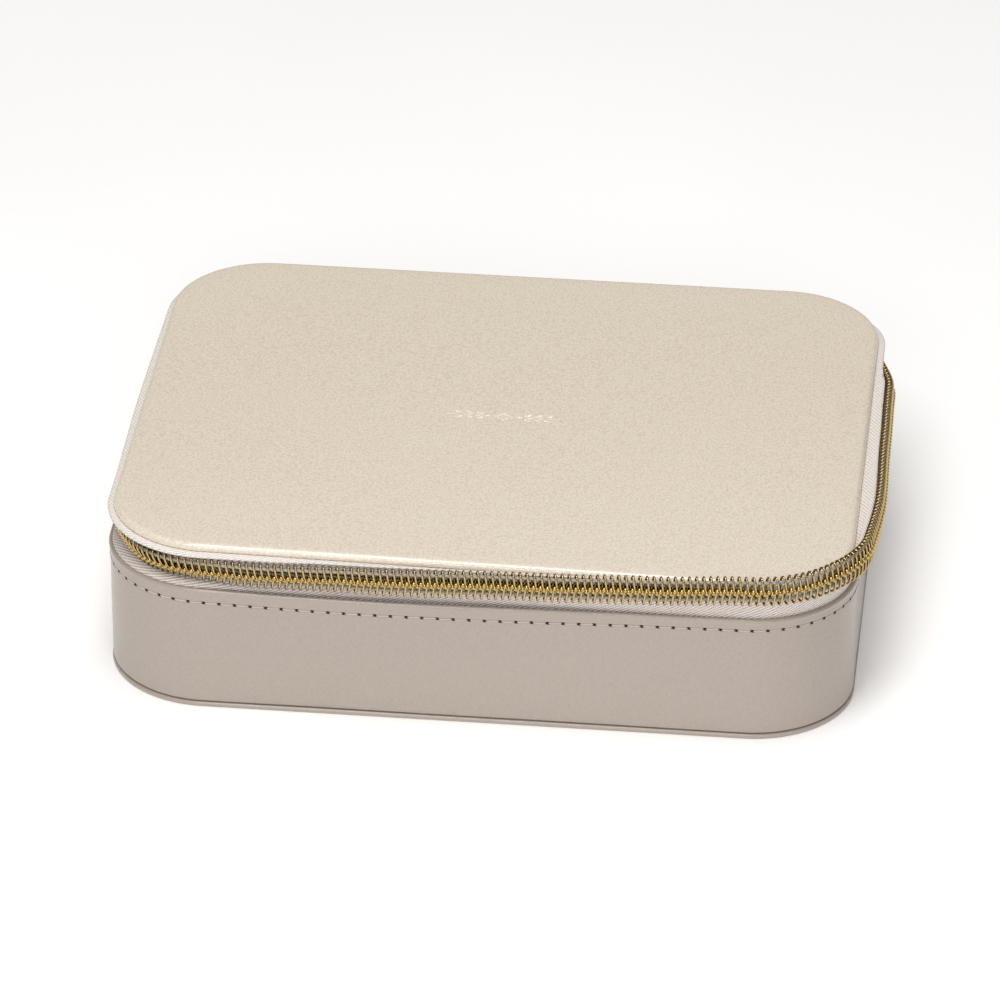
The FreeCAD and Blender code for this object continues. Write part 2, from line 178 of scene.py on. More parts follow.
def station(s):
    """Point on the wall's outer face at s, and the outward direction there."""
    s %= ROUND
    turns = [
        (RUN_X / 2, Vector((0, HALF_Y, 0)), Vector((-1, 0, 0)), 90),
        (RUN_Y, Vector((-HALF_X, CORNER_Y, 0)), Vector((0, -1, 0)), 180),
        (RUN_X, Vector((-CORNER_X, -HALF_Y, 0)), Vector((1, 0, 0)), 270),
        (RUN_Y, Vector((HALF_X, -CORNER_Y, 0)), Vector((0, 1, 0)), 0),
        (RUN_X / 2, Vector((CORNER_X, HALF_Y, 0)), Vector((-1, 0, 0)), 90),
    ]
    for length, start, along, angle_deg in turns:
        outward = Vector((along.y, -along.x, 0))
        if s <= length:
            return start + along * s, outward
        s -= length
        if s <= ARC:
            centre = start + along * length - outward * CORNER_RADIUS
            angle = math.radians(angle_deg) + s / CORNER_RADIUS
            outward = Vector((math.cos(angle), math.sin(angle), 0))
            return centre + outward * CORNER_RADIUS, outward
        s -= ARC
    return Vector((0, HALF_Y, 0)), Vector((0, 1, 0))


def smooth_step(t):
    t = min(max(t, 0.0), 1.0)
    return t * t * (3 - 2 * t)


def eased(keys, s):
    """Value at s, going smoothly from key to key."""
    s %= ROUND
    for (a, value_a), (b, value_b) in zip(keys, keys[1:]):
        if s <= b:
            return value_a + (value_b - value_a) * smooth_step((s - a) / (b - a))
    return keys[-1][1]


def lid_lift(x, y):
    """The lid is slightly twisted: its front left is a little high, its front right a little low."""
    share = smooth_step((LID_LIFT_BACK_Y - y) / (LID_LIFT_BACK_Y + HALF_Y))
    return share * (LID_LIFT - LID_TWIST * x / HALF_X)


def lid_lift_at(s):
    point, _ = station(s)
    return lid_lift(point.x, point.y)


# ---- mesh helpers ----


def link_piece(name, mesh, material):
    """Object with one material, in the scene."""
    mesh.materials.clear()
    mesh.materials.append(material)
    piece = bpy.data.objects.new(name, mesh)
    bpy.context.scene.collection.objects.link(piece)
    return piece


def make_piece(name, points, faces, material, places=None, labels=("along", "across")):
    """Mesh object from points in mm. places gives each point two values that the material uses."""
    mesh = bpy.data.meshes.new(name)
    mesh.from_pydata([Vector(p) * MM for p in points], [], faces)
    bm = bmesh.new()
    bm.from_mesh(mesh)
    bmesh.ops.recalc_face_normals(bm, faces=bm.faces)
    bm.to_mesh(mesh)
    bm.free()
    mesh.shade_smooth()
    if places:
        for index, label in enumerate(labels):
            attribute = mesh.attributes.new(label, "FLOAT", "POINT")
            attribute.data.foreach_set("value", [place[index] for place in places])
    return link_piece(name, mesh, material)


def finish_piece(piece, body, slot_name, *nodes):
    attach(piece, body)
    if nodes:
        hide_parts(*nodes)


def band(a, b, size):
    """Faces between two closed rings of points that start at a and b."""
    return [(a + k, a + (k + 1) % size, b + (k + 1) % size, b + k) for k in range(size)]


def swept(name, s0, s1, step, section, material):
    """Carries section(s), (out, z) points, along the wall. A full round is closed; a part has end caps."""
    full = abs(s1 - s0 - ROUND) < 0.001
    count = max(2, round((s1 - s0) / step))
    stations = count if full else count + 1
    points, places = [], []
    for index in range(stations):
        s = s0 + (s1 - s0) * index / count
        foot, outward = station(s)
        profile = section(s)
        across = 0.0
        last = profile[0]
        for out, z in profile:
            across += math.hypot(out - last[0], z - last[1])
            last = (out, z)
            points.append(foot + outward * out + Vector((0, 0, z)))
            places.append((s, across))
    size = len(profile)
    faces = []
    for index in range(count):
        faces += band(index * size, (index + 1) % stations * size, size)
    if not full:
        faces.append(tuple(range(size)))
        faces.append(tuple(range((stations - 1) * size, stations * size)))
    return make_piece(name, points, faces, material, places=places)


def smooth_line(points, per_span=4):
    """Catmull-Rom line through a few (out, z) points."""
    line = []
    padded = [points[0]] + list(points) + [points[-1]]
    for index in range(1, len(padded) - 2):
        p0, p1, p2, p3 = (Vector(p) for p in padded[index - 1:index + 3])
        for step in range(per_span):
            t = step / per_span
            line.append(0.5 * (
                2 * p1 + (p2 - p0) * t + (2 * p0 - 5 * p1 + 4 * p2 - p3) * t * t
                + (3 * p1 - p0 - 3 * p2 + p3) * t * t * t
            ))
    line.append(Vector(points[-1]))
    return line


def ribbon(line, half_thick):
    """Closed section of a strip with rounded edges along a line."""
    one, other = [], []
    for index, point in enumerate(line):
        ahead = line[min(index + 1, len(line) - 1)] - line[max(index - 1, 0)]
        side = Vector((-ahead.y, ahead.x)).normalized() * half_thick
        one.append(point + side)
        other.append(point - side)
    first = line[0] - (line[1] - line[0]).normalized() * half_thick * 0.6
    last = line[-1] + (line[-1] - line[-2]).normalized() * half_thick * 0.6
    return [tuple(p) for p in [first] + one + [last] + other[::-1]]


def tube(paths, radius, sides):
    """Points and faces of tubes. Each path is a list of (point, sideways reference, radius factor)."""
    points, faces = [], []
    for path in paths:
        base = len(points)
        for index, (point, reference, factor) in enumerate(path):
            ahead = path[min(index + 1, len(path) - 1)][0] - path[max(index - 1, 0)][0]
            one = ahead.cross(reference).normalized()
            other = ahead.cross(one).normalized()
            for k in range(sides):
                angle = 2 * math.pi * k / sides
                points.append(point + (one * math.cos(angle) + other * math.sin(angle)) * radius * factor)
        for index in range(len(path) - 1):
            faces += band(base + index * sides, base + (index + 1) * sides, sides)
        faces.append(tuple(base + k for k in range(sides)))
        last = base + (len(path) - 1) * sides
        faces.append(tuple(last + k for k in range(sides)))
    return points, faces


# ---- materials ----


def new_material(name):
    material = bpy.data.materials.new(name)
    material.use_nodes = True
    tree = material.node_tree
    return material, tree, tree.nodes["Principled BSDF"]


def add_node(tree, kind, **settings):
    node = tree.nodes.new(kind)
    for key, value in settings.items():
        if key.startswith("in_"):
            node.inputs[key[3:].replace("_", " ")].default_value = value
        else:
            setattr(node, key, value)
    return node


def set_constants(shader, **values):
    for key, value in values.items():
        shader.inputs[key.replace("_", " ")].default_value = value


def paint(tree, shader, colour):
    tree.links.new(colour, shader.inputs["Base Color"])


def vary_roughness(tree, shader, source, low, high):
    tree.links.new(spread(tree, source, low, high), shader.inputs["Roughness"])


def object_noise(tree, scale, detail=3.0):
    place = add_node(tree, "ShaderNodeTexCoord")
    texture = add_node(tree, "ShaderNodeTexNoise", in_Scale=scale, in_Detail=detail)
    tree.links.new(place.outputs["Object"], texture.inputs["Vector"])
    return texture.outputs["Fac"]


def mark(tree, name):
    """The value that make_piece stores at each point under this label."""
    return add_node(tree, "ShaderNodeAttribute", attribute_name=name).outputs["Fac"]


def ramp(tree, source, low, high, start=0.3, end=0.7, middle=()):
    """Colour ramp from low to high; middle holds any (position, colour) between them."""
    node = add_node(tree, "ShaderNodeValToRGB")
    elements = node.color_ramp.elements
    for element, position, colour in ((elements[0], start, low), (elements[1], end, high)):
        element.position = position
        element.color = (*colour, 1)
    for position, colour in middle:
        elements.new(position).color = (*colour, 1)
    tree.links.new(source, node.inputs["Fac"])
    return node.outputs["Color"]


def spread(tree, source, low, high, **settings):
    node = add_node(tree, "ShaderNodeMapRange", in_To_Min=low, in_To_Max=high, **settings)
    tree.links.new(source, node.inputs["Value"])
    return node.outputs["Result"]


def multiply_colour(tree, one, other):
    node = add_node(tree, "ShaderNodeMix", data_type="RGBA", blend_type="MULTIPLY", in_Factor=1.0)
    tree.links.new(one, node.inputs["A"])
    tree.links.new(other, node.inputs["B"])
    return node.outputs["Result"]


def combine(tree, operation, one, other):
    node = add_node(tree, "ShaderNodeMath", operation=operation)
    for index, value in enumerate((one, other)):
        if isinstance(value, (int, float)):
            node.inputs[index].default_value = value
        else:
            tree.links.new(value, node.inputs[index])
    return node.outputs["Value"]


def add_share(tree, one, other, share):
    """one + other * share"""
    return combine(tree, "ADD", one, combine(tree, "MULTIPLY", other, share))


def bump(tree, height, distance, shader, strength=1.0):
    node = add_node(tree, "ShaderNodeBump", in_Strength=strength, in_Distance=distance)
    tree.links.new(height, node.inputs["Height"])
    tree.links.new(node.outputs["Normal"], shader.inputs["Normal"])


def leatherette(name, light, dark, crease_shade_tone, grain, coat):
    """Fine creased grain with a pearly top coat; the colour darkens in the grain's creases as painted shade.
    """
    material, tree, shader = new_material(name)
    place = add_node(tree, "ShaderNodeTexCoord")
    cells = add_node(tree, "ShaderNodeTexVoronoi", feature="SMOOTH_F1", in_Scale=1600.0, in_Smoothness=0.3)
    warp = add_node(tree, "ShaderNodeTexNoise", in_Scale=800.0, in_Detail=2.0)
    shift = add_node(tree, "ShaderNodeVectorMath", operation="MULTIPLY_ADD")
    shift.inputs[1].default_value = (0.0008, 0.0008, 0.0008)
    tree.links.new(place.outputs["Object"], warp.inputs["Vector"])
    tree.links.new(warp.outputs["Color"], shift.inputs[0])
    tree.links.new(place.outputs["Object"], shift.inputs[2])
    tree.links.new(shift.outputs["Vector"], cells.inputs["Vector"])
    fine = object_noise(tree, 2600.0, 2.0)
    cloud = object_noise(tree, 5.0, 1.0)
    tone = ramp(tree, cloud, dark, light, 0.3, 0.7)
    # The grain's creases are coloured darker: painted shade in the creases.
    crease_shade = ramp(tree, cells.outputs["Distance"], (1.0, 1.0, 1.0), crease_shade_tone, 0.25, 0.75)
    paint(tree, shader, multiply_colour(tree, tone, crease_shade))
    vary_roughness(tree, shader, fine, 0.46, 0.58)
    height = combine(tree, "SUBTRACT", combine(tree, "MULTIPLY", fine, 0.3),
                     cells.outputs["Distance"])
    bump(tree, height, grain, shader)
    set_constants(shader, Metallic=0.05, Coat_Weight=coat, Coat_Roughness=0.09, Coat_IOR=1.7,
                  Specular_IOR_Level=0.3)
    return material


def twill(name, light, dark):
    """Woven zip tape: slanted ribs along the tape, with the yarn's own grain."""
    material, tree, shader = new_material(name)
    along, across = mark(tree, "along"), mark(tree, "across")
    slant = add_share(tree, along, across, RIB)
    ribs = combine(tree, "SINE", combine(tree, "MULTIPLY", slant, 2 * math.pi / RIB), 0.0)
    threads = combine(tree, "MULTIPLY", along, 2 * math.pi / THREAD_PITCH)
    weave = combine(tree, "ADD", ribs, combine(tree, "MULTIPLY", combine(tree, "SINE", threads, 0.0), 0.3))
    fuzz = object_noise(tree, 1500.0, 3.0)
    height = add_share(tree, weave, fuzz, 1.6)
    share = spread(tree, height, 0.0, 1.0, in_From_Min=-0.5, in_From_Max=1.9)
    # The colour runs from dark in the weave's grooves to light on its ribs: painted shade in the grooves,
    # over the twill's rib pattern.
    paint(tree, shader, ramp(tree, share, dark, light, 0.05, 0.6))
    bump(tree, height, 0.00010, shader)
    set_constants(shader, Roughness=0.8, Sheen_Weight=0.15, Sheen_Roughness=0.4)
    return material


def antique_metal(name, bright, dull, patina):
    """Plated loops: dark in the recesses and on inward faces, bright where they stand out and face out; this
    is patina and rubbed plating together with painted shade and painted highlight.
    """
    material, tree, shader = new_material(name)
    rubbed_and_lit, depth = mark(tree, "rubbed_and_lit"), mark(tree, "depth")
    clouds = object_noise(tree, 420.0, 3.0)
    lit = combine(tree, "ADD", combine(tree, "MULTIPLY", depth, 0.2), 0.8)
    share = combine(tree, "MULTIPLY", rubbed_and_lit, lit)
    share = add_share(tree, share, clouds, 0.2)
    paint(tree, shader, ramp(tree, share, patina, bright, 0.30, 0.98, [(0.62, dull)]))
    wear = object_noise(tree, 1200.0, 2.0)
    vary_roughness(tree, shader, wear, 0.14, 0.3)
    bump(tree, wear, 0.00001, shader, 0.5)
    set_constants(shader, Metallic=1.0, Coat_Weight=0.6, Coat_Roughness=0.08)
    return material


def metal(name, bright, dull):
    """Plated metal with patina clouds and fine wear."""
    material, tree, shader = new_material(name)
    patina = object_noise(tree, 260.0, 4.0)
    paint(tree, shader, ramp(tree, patina, dull, bright, 0.35, 0.62))
    wear = object_noise(tree, 500.0, 3.0)
    vary_roughness(tree, shader, wear, 0.2, 0.32)
    bump(tree, wear, 0.000015, shader, 0.6)
    set_constants(shader, Metallic=1.0)
    return material


def velvet(name, light, dark):
    """Short pile: soft clouds where it is brushed, and fine fibres."""
    material, tree, shader = new_material(name)
    brushed = object_noise(tree, 38.0, 4.0)
    fibre = object_noise(tree, 3200.0, 3.0)
    tone = ramp(tree, brushed, dark, light, 0.3, 0.72)
    speck = ramp(tree, fibre, (0.80, 0.79, 0.78), (1.0, 1.0, 1.0))
    paint(tree, shader, multiply_colour(tree, tone, speck))
    pile = combine(tree, "MULTIPLY", brushed, 2.0)
    bump(tree, combine(tree, "ADD", fibre, pile), 0.00012, shader)
    set_constants(shader, Roughness=0.95, Sheen_Weight=0.7, Sheen_Roughness=0.35, Specular_IOR_Level=0.15)
    return material


def yarn(name, light, dark):
    """Twisted thread or cord: strands and a little fuzz."""
    material, tree, shader = new_material(name)
    place = add_node(tree, "ShaderNodeTexCoord")
    strands = add_node(tree, "ShaderNodeTexWave", wave_type="BANDS", bands_direction="DIAGONAL",
                       in_Scale=2400.0, in_Distortion=2.0)
    tree.links.new(place.outputs["Object"], strands.inputs["Vector"])
    fuzz = object_noise(tree, 2500.0, 2.0)
    height = combine(tree, "ADD", strands.outputs["Fac"], fuzz)
    paint(tree, shader, ramp(tree, height, dark, light, 0.4, 1.4))
    bump(tree, height, 0.00005, shader)
    set_constants(shader, Roughness=0.6, Sheen_Weight=0.3)
    return material


def pressed_board(name, light, dark, scale=900.0, depth=0.00005):
    """Grey-brown bookbinder's board or open foam: flecks and pores."""
    material, tree, shader = new_material(name)
    flecks = object_noise(tree, scale, 6.0)
    paint(tree, shader, ramp(tree, flecks, dark, light, 0.35, 0.65))
    bump(tree, flecks, depth, shader)
    set_constants(shader, Roughness=0.9)
    return material


def silvered_glass(name):
    material, tree, shader = new_material(name)
    haze = object_noise(tree, 30.0, 2.0)
    vary_roughness(tree, shader, haze, 0.015, 0.035)
    paint(tree, shader, ramp(tree, haze, (0.88, 0.90, 0.91), (0.92, 0.93, 0.94)))
    set_constants(shader, Metallic=1.0)
    return material


# One leatherette in two copies: the lighter lid copy is painted light, and the darker wall copy, also used
# on the base, spine and mirror frame, is painted shade.
LIT_LID_SKIN = leatherette(
    "lid_leatherette", (0.865, 0.78, 0.67), (0.823, 0.735, 0.615), (0.84, 0.82, 0.79), 0.0001, 0.6,
)
SHADED_SKIN = leatherette(
    "leatherette", (0.445, 0.385, 0.34), (0.425, 0.365, 0.32), (0.94, 0.93, 0.92), 0.00004, 0.45,
)
UPPER_TWILL = twill("zip_tape", (0.93, 0.87, 0.82), (0.70, 0.63, 0.58))
# The lower tape is a darker copy of the upper tape's colours: painted shade where the chain and the hem
# overhang it.
SHADED_LOWER_TWILL = twill("zip_tape_low_shaded", (0.88, 0.81, 0.76), (0.46, 0.39, 0.36))
COIL_METAL = antique_metal("zip_coil", (0.55, 0.39, 0.12), (0.27, 0.18, 0.05), (0.10, 0.065, 0.02))
# The cord is coloured dark grey, darker than the tape: painted shade inside the coil, between the loops.
SHADED_CORE_YARN = yarn("coil_core", (0.60, 0.55, 0.51), (0.20, 0.17, 0.15))
THREAD = yarn("thread", (0.72, 0.65, 0.58), (0.58, 0.51, 0.45))
# Near-black discs at the stitch ends: painted shade standing in for the inside of the needle holes, made
# with the board shader.
NEEDLE_HOLE_SHADE = pressed_board("needle_hole", (0.02, 0.014, 0.01), (0.008, 0.006, 0.004))
VELVET = velvet("velvet", (0.62, 0.53, 0.445), (0.53, 0.445, 0.37))
BRASS = metal("brass", (0.80, 0.62, 0.30), (0.62, 0.46, 0.20))
BOARD = pressed_board("board", (0.40, 0.33, 0.25), (0.25, 0.20, 0.15))
FOAM = pressed_board("foam", (0.80, 0.79, 0.74), (0.62, 0.61, 0.57), 1500.0, 0.0001)
MIRROR = silvered_glass("mirror_glass")


# ---- case skin ----


def hem_z(s):
    return HEM_Z + eased(HEM_RISE, s)


def bow(s, z):
    """The wall's skin stands out a little towards its hem."""
    return eased(HEM_BOW, s) * smooth_step((z - BASE_TOP) / (HEM_Z - BASE_TOP))


def ripple(s, z):
    """Slight unevenness of the skin over its padding."""
    foot, _ = station(s)
    return 0.16 * noise.noise(Vector((foot.x / 34, foot.y / 34, z / 26)))


def stitch_z(s):
    return STITCH_Z + eased(HEM_RISE, s) + eased(STITCH_RISE, s)


def hole_near(s):
    """How near s is to a needle hole, from 0 to 1."""
    phase = (s - SPINE_HALF) / STITCH_PITCH
    return (0.5 + 0.5 * math.cos(2 * math.pi * phase)) ** 3


def wall_section(s):
    """Skin from the foot up to a rolled hem and down inside; the stitches pull it in."""
    top = hem_z(s) - HEM_RADIUS
    stitch = stitch_z(s)
    sewn = smooth_step((min(s, ROUND - s) - SPINE_HALF) / 1.0)
    pull = sewn * (0.03 + 0.14 * hole_near(s))
    outer = [
        (-0.75, BASE_TOP - 0.1), (-0.3, BASE_TOP), (-0.08, BASE_TOP + 0.25), (0.0, BASE_TOP + 0.8),
        (0.0, 4.0), (0.0, 9.0), (0.0, 15.0), (0.0, 21.0), (0.0, 27.0), (0.0, 31.0),
        (0.02, stitch - 1.6), (0.02, stitch - 0.7), (-0.5 * pull, stitch - 0.3), (-pull, stitch),
        (-0.4 * pull, stitch + 0.3), (0.07, stitch + 0.7), (0.12, stitch + 1.2), (0.08, top - 1.3),
        (0.12, top - 0.7), (0.24, top - 0.3),
    ]
    profile = [(out + bow(s, z) + ripple(s, z), z) for out, z in outer]
    lean = bow(s, top)
    for step in range(7):
        angle = math.pi * step / 6
        profile.append((
            lean + HEM_OUT - HEM_RADIUS + HEM_RADIUS * math.cos(angle) + ripple(s, top),
            top + HEM_RADIUS * math.sin(angle),
        ))
    profile += [(lean + TAPE_FACE, top - 1.5), (SKIN_INSIDE, 30.0), (SKIN_INSIDE, BASE_TOP - 0.05)]
    return profile


def wall_cover():
    piece = swept("wall_skin", 0, ROUND, STITCH_PITCH / 6, wall_section, SHADED_SKIN)
    finish_piece(piece, "case", "leatherette", "wall_cover", "wall_padding")


def hem_stitches():
    """Thread from hole to hole, lying in the groove, and near-black discs at the needle holes, painted shade
    for the holes' insides.
    """
    count = int((ROUND - 2 * SPINE_HALF) / STITCH_PITCH)
    paths, hole_points, hole_faces = [], [], []
    for index in range(count + 1):
        s = SPINE_HALF + index * STITCH_PITCH
        foot, outward = station(s)
        z = stitch_z(s)
        centre = foot + outward * (bow(s, z) + ripple(s, z) - 0.03) + UP * z
        add_disc(hole_points, hole_faces, centre, outward)
        if index == count:
            break
        path = []
        for step in range(9):
            t = step / 8
            s_here = s + (0.07 + 0.86 * t) * STITCH_PITCH
            foot, outward = station(s_here)
            z = stitch_z(s_here) + 0.16 * (t - 0.5)
            lift = 0.16 * math.sin(math.pi * t) ** 0.5 - 0.12
            path.append((foot + outward * (bow(s_here, z) + ripple(s_here, z) + lift) + UP * z, UP, 1.0))
        paths.append(path)
    thread = make_piece("hem_stitches", *tube(paths, STITCH_RADIUS, 6), THREAD)
    finish_piece(thread, "case", "thread", "hem_stitching")
    finish_piece(make_piece("needle_hole_shades", hole_points, hole_faces, NEEDLE_HOLE_SHADE), "case", "thread")


def add_disc(points, faces, centre, outward):
    """Small domed disc, slanted like the mark of a needle; its near-black material is painted shade for the
    hole.
    """
    along = UP.cross(outward)
    base = len(points)
    points.append(centre + outward * 0.12)
    for k in range(10):
        angle = 2 * math.pi * k / 10
        lean = along * math.cos(angle) * 1.25 + UP * math.sin(angle) * 0.85 + along * math.sin(angle) * -0.35
        points.append(centre + lean * HOLE_RADIUS)
        faces.append((base, base + 1 + k, base + 1 + (k + 1) % 10))


# ---- panels: lid, base and linings ----

PATCH_X, PATCH_Y = 18.0, 9.0
PATCH_COLUMNS, PATCH_ROWS = 144, 72


def patch_border():
    """Border of the fine middle patch, with the matching place on the way round for each of its points."""
    corners = [Vector((x * PATCH_X, y * PATCH_Y, 0)) for x, y in ((-1, -1), (1, -1), (1, 1), (-1, 1))]
    places = [FRONT_LEFT, FRONT_RIGHT, BACK_RIGHT, BACK_LEFT + ROUND, FRONT_LEFT + ROUND]
    border = []
    for side in range(4):
        count = PATCH_ROWS if side % 2 else PATCH_COLUMNS
        for k in range(count):
            spot = corners[side].lerp(corners[(side + 1) % 4], k / count)
            border.append((spot, places[side] + (places[side + 1] - places[side]) * k / count))
    return border


def panel(name, profile, material, rings, crown=None, lift=None, detail=None):
    """Rounded panel: (out, z) points from below to above, closed over the middle on both sides."""
    border = patch_border()
    size = len(border)
    foot_z, top = profile[0][1], profile[-1][1]
    turns = [(*profile[0], 1 - ring / 5) for ring in range(6)]
    turns += [(out, z, 0.0) for out, z in profile[1:]]
    turns += [(*profile[-1], ring / rings) for ring in range(1, rings + 1)]
    outline = [station(s) for _, s in border]
    points = [Vector((0, 0, foot_z))]
    faces = [(0, 1 + k, 1 + (k + 1) % size) for k in range(size)]
    for index, (out, z, share) in enumerate(turns):
        for (foot, outward), (inner, _) in zip(outline, border):
            spot = (foot + outward * out).lerp(inner, share)
            points.append(Vector((spot.x, spot.y, z)))
        if index:
            faces += band(1 + (index - 1) * size, 1 + index * size, size)
    fill_patch(points, faces, len(points) - size, top)
    for point in points:
        if point.z >= top - 0.001:
            edge = min(HALF_X - abs(point.x), HALF_Y - abs(point.y)) / 40
            if crown:
                point.z += crown * smooth_step(edge)
            if detail:
                point.z += detail(point.x, point.y)
        if lift:
            point.z += lift(point.x, point.y)
    return make_piece(name, points, faces, material)


def fill_patch(points, faces, border_start, z):
    """Fine grid inside the patch, joined to its border ring."""
    columns, rows = PATCH_COLUMNS, PATCH_ROWS
    index = {}
    for k in range(columns):
        index[(k, 0)] = border_start + k
        index[(columns - k, rows)] = border_start + columns + rows + k
    for k in range(rows):
        index[(columns, k)] = border_start + columns + k
        index[(0, rows - k)] = border_start + 2 * columns + rows + k
    for i in range(1, columns):
        for j in range(1, rows):
            index[(i, j)] = len(points)
            points.append(Vector((
                -PATCH_X + 2 * PATCH_X * i / columns, -PATCH_Y + 2 * PATCH_Y * j / rows, z,
            )))
    for i in range(columns):
        for j in range(rows):
            faces.append((index[(i, j)], index[(i + 1, j)], index[(i + 1, j + 1)], index[(i, j + 1)]))


ORNAMENT_Y = -2.0
ORNAMENT_DEPTH = 0.4


def ornament(x, y):
    """Small generic sprig pressed into the lid: a lozenge with three pairs of leaves on each side."""
    x, y = abs(x), y - ORNAMENT_Y
    lozenge = abs(x / 2.3 + abs(y) / 1.7 - 1) * 1.37 - 0.28
    stem = max(abs(y) - 0.24 * (1 - x / 17.5), 4.0 - x, x - 16.5)
    depth = max(press(lozenge), press(stem))
    for centre in (6.8, 9.8, 12.8):
        for side in (-1, 1):
            dx, dy = x - centre, y - side * 1.25
            turn = math.radians(32) * side
            u = dx * math.cos(turn) + dy * math.sin(turn)
            v = dy * math.cos(turn) - dx * math.sin(turn)
            leaf = (math.hypot(u / 1.35, v / 0.5) - 1) * 0.5
            depth = max(depth, press(leaf))
    return -ORNAMENT_DEPTH * depth


def press(distance):
    return smooth_step(0.5 - distance / 0.36)


def lid_panel():
    """Padded leatherette lid: soft rounded edge and slight crown."""
    seam, top, edge = LID_SEAM, LID_TOP, -LID_INSET
    profile = [
        (edge - 3.0, seam + 0.05), (edge - 0.7, seam), (edge - 0.25, seam + 0.08), (edge - 0.05, seam + 0.3),
        (edge, seam + 0.7), (edge - 0.06, seam + 1.05), (edge - 0.21, seam + 1.4),
        (edge - 0.45, seam + 1.71), (edge - 0.77, seam + 1.95), (edge - 1.15, seam + 2.11),
        (edge - 1.6, top - 0.03), (edge - 2.2, top),
    ]
    piece = panel("lid_skin", profile, LIT_LID_SKIN, rings=22, crown=0.25, lift=lid_lift, detail=ornament)
    finish_piece(piece, "lid", "lid_leatherette", "lid_cover", "lid_foam")


def base_tray():
    """Leatherette tray with a rounded lip round the foot."""
    lip = base_high.x - HALF_X - LIP_TRIM
    profile = [
        (-1.0, 0.0), (lip - 0.6, 0.0), (lip - 0.3, 0.06), (lip - 0.08, 0.25), (lip, 0.6), (lip - 0.04, 0.95),
        (lip - 0.16, 1.2), (lip - 0.4, 1.36), (-0.7, 1.4), (-3.0, BASE_TOP),
    ]
    piece = panel("base_tray", profile, SHADED_SKIN, rings=3)
    finish_piece(piece, "case", "leatherette", "base_cover", "base_board")


def lid_lining():
    out = lid_lining_high.x - HALF_X
    low, high = lid_lining_low.z, lid_lining_high.z
    profile = [
        (out - 1.2, low), (out - 0.5, low + 0.03), (out - 0.12, low + 0.2), (out, high - 0.1),
        (out - 0.4, high + 0.1),
    ]
    piece = panel("lid_velvet", profile, VELVET, rings=3, lift=lid_lift)
    finish_piece(piece, "lid", "velvet", "lid_lining")


def warped_copy(node, material, slot_name):
    """The CAD shape, following the lid's slight twist."""
    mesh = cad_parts[node].data.copy()
    for vertex in mesh.vertices:
        place = vertex.co / MM
        vertex.co.z += lid_lift(place.x, place.y) * MM
    finish_piece(link_piece(node + "_inner", mesh, material), "lid", slot_name, node)


# ---- zip ----


def chain_frame(s):
    """Origin on the chain's back face, its facing direction and its cross direction, at s."""
    foot, outward = station(s)
    tilt = math.radians(eased(CHAIN_TILT, s))
    origin = foot + outward * eased(CHAIN_OUT, s) + UP * (CHAIN_Z + eased(CHAIN_RISE, s))
    facing = outward * math.cos(tilt) + UP * math.sin(tilt)
    return origin, facing, UP * math.cos(tilt) - outward * math.sin(tilt)


def growth(s):
    """The free chain on the sides and the front spreads a little more than its flat ends on the back."""
    return 1 + CHAIN_GROWTH * smooth_step((min(s % ROUND, -s % ROUND) - CORNER_X) / 25)


def chain_section_point(s, cross_by, facing_by):
    """A point of the chain's cross-section as (out, z)."""
    tilt = math.radians(eased(CHAIN_TILT, s))
    out = eased(CHAIN_OUT, s) + facing_by * math.cos(tilt) - cross_by * math.sin(tilt)
    z = CHAIN_Z + eased(CHAIN_RISE, s) + facing_by * math.sin(tilt) + cross_by * math.cos(tilt)
    return out, z


def bent(value, power):
    return math.copysign(abs(value) ** power, value)


def coil_path(s0, s1, side):
    """Helix of one coil. side is 1 for the upper coil and -1 for the lower, half a pitch on."""
    shift = 0.0 if side > 0 else 0.5
    first = math.ceil(s0 / COIL_PITCH - shift)
    last = math.ceil(s1 / COIL_PITCH - shift)
    path, marks = [], []
    for step in range((last - first) * COIL_SAMPLES + 1):
        turn = step / COIL_SAMPLES
        angle = 2 * math.pi * turn
        s = (first + shift + turn) * COIL_PITCH
        origin, facing, cross = chain_frame(s)
        size = growth(s)
        edge = CHAIN_HALF * size - WIRE
        w = (edge + HEAD_REACH) / 2 + (edge - HEAD_REACH) / 2 * bent(math.cos(angle), 0.85)
        n = CHAIN_THICK / 2 + (CHAIN_THICK / 2 - WIRE) * bent(math.sin(angle), 0.7)
        head = max(0.0, -math.cos(angle)) ** 8
        n += HEAD_FORWARD * head
        along = facing.cross(cross)
        spot = origin + facing * n + cross * (w * side)
        path.append((spot, along, 1.0))
        core = origin + facing * (CHAIN_THICK / 2) + cross * (side * CORE_SHARE * CHAIN_HALF * size)
        marks.append(((spot - core).normalized() * 0.6 + facing, n / CHAIN_THICK))
    return path, marks


def add_beads(path, marks):
    """The flattened heads of the loops: a rounded bead at the middle of each turn."""
    beads, bead_marks = [], []
    for index in range(COIL_SAMPLES // 2, len(path), COIL_SAMPLES):
        spot, along, _ = path[index]
        facing = along.cross((path[index - 1][0] - spot).cross(along)).normalized()
        bead = []
        for place, factor in BEAD_SHAPE:
            bead.append((spot + along * place * BEAD_RADIUS, facing, factor * BEAD_RADIUS / WIRE))
            bead_marks.append(marks[index])
        beads.append(bead)
    return beads, bead_marks


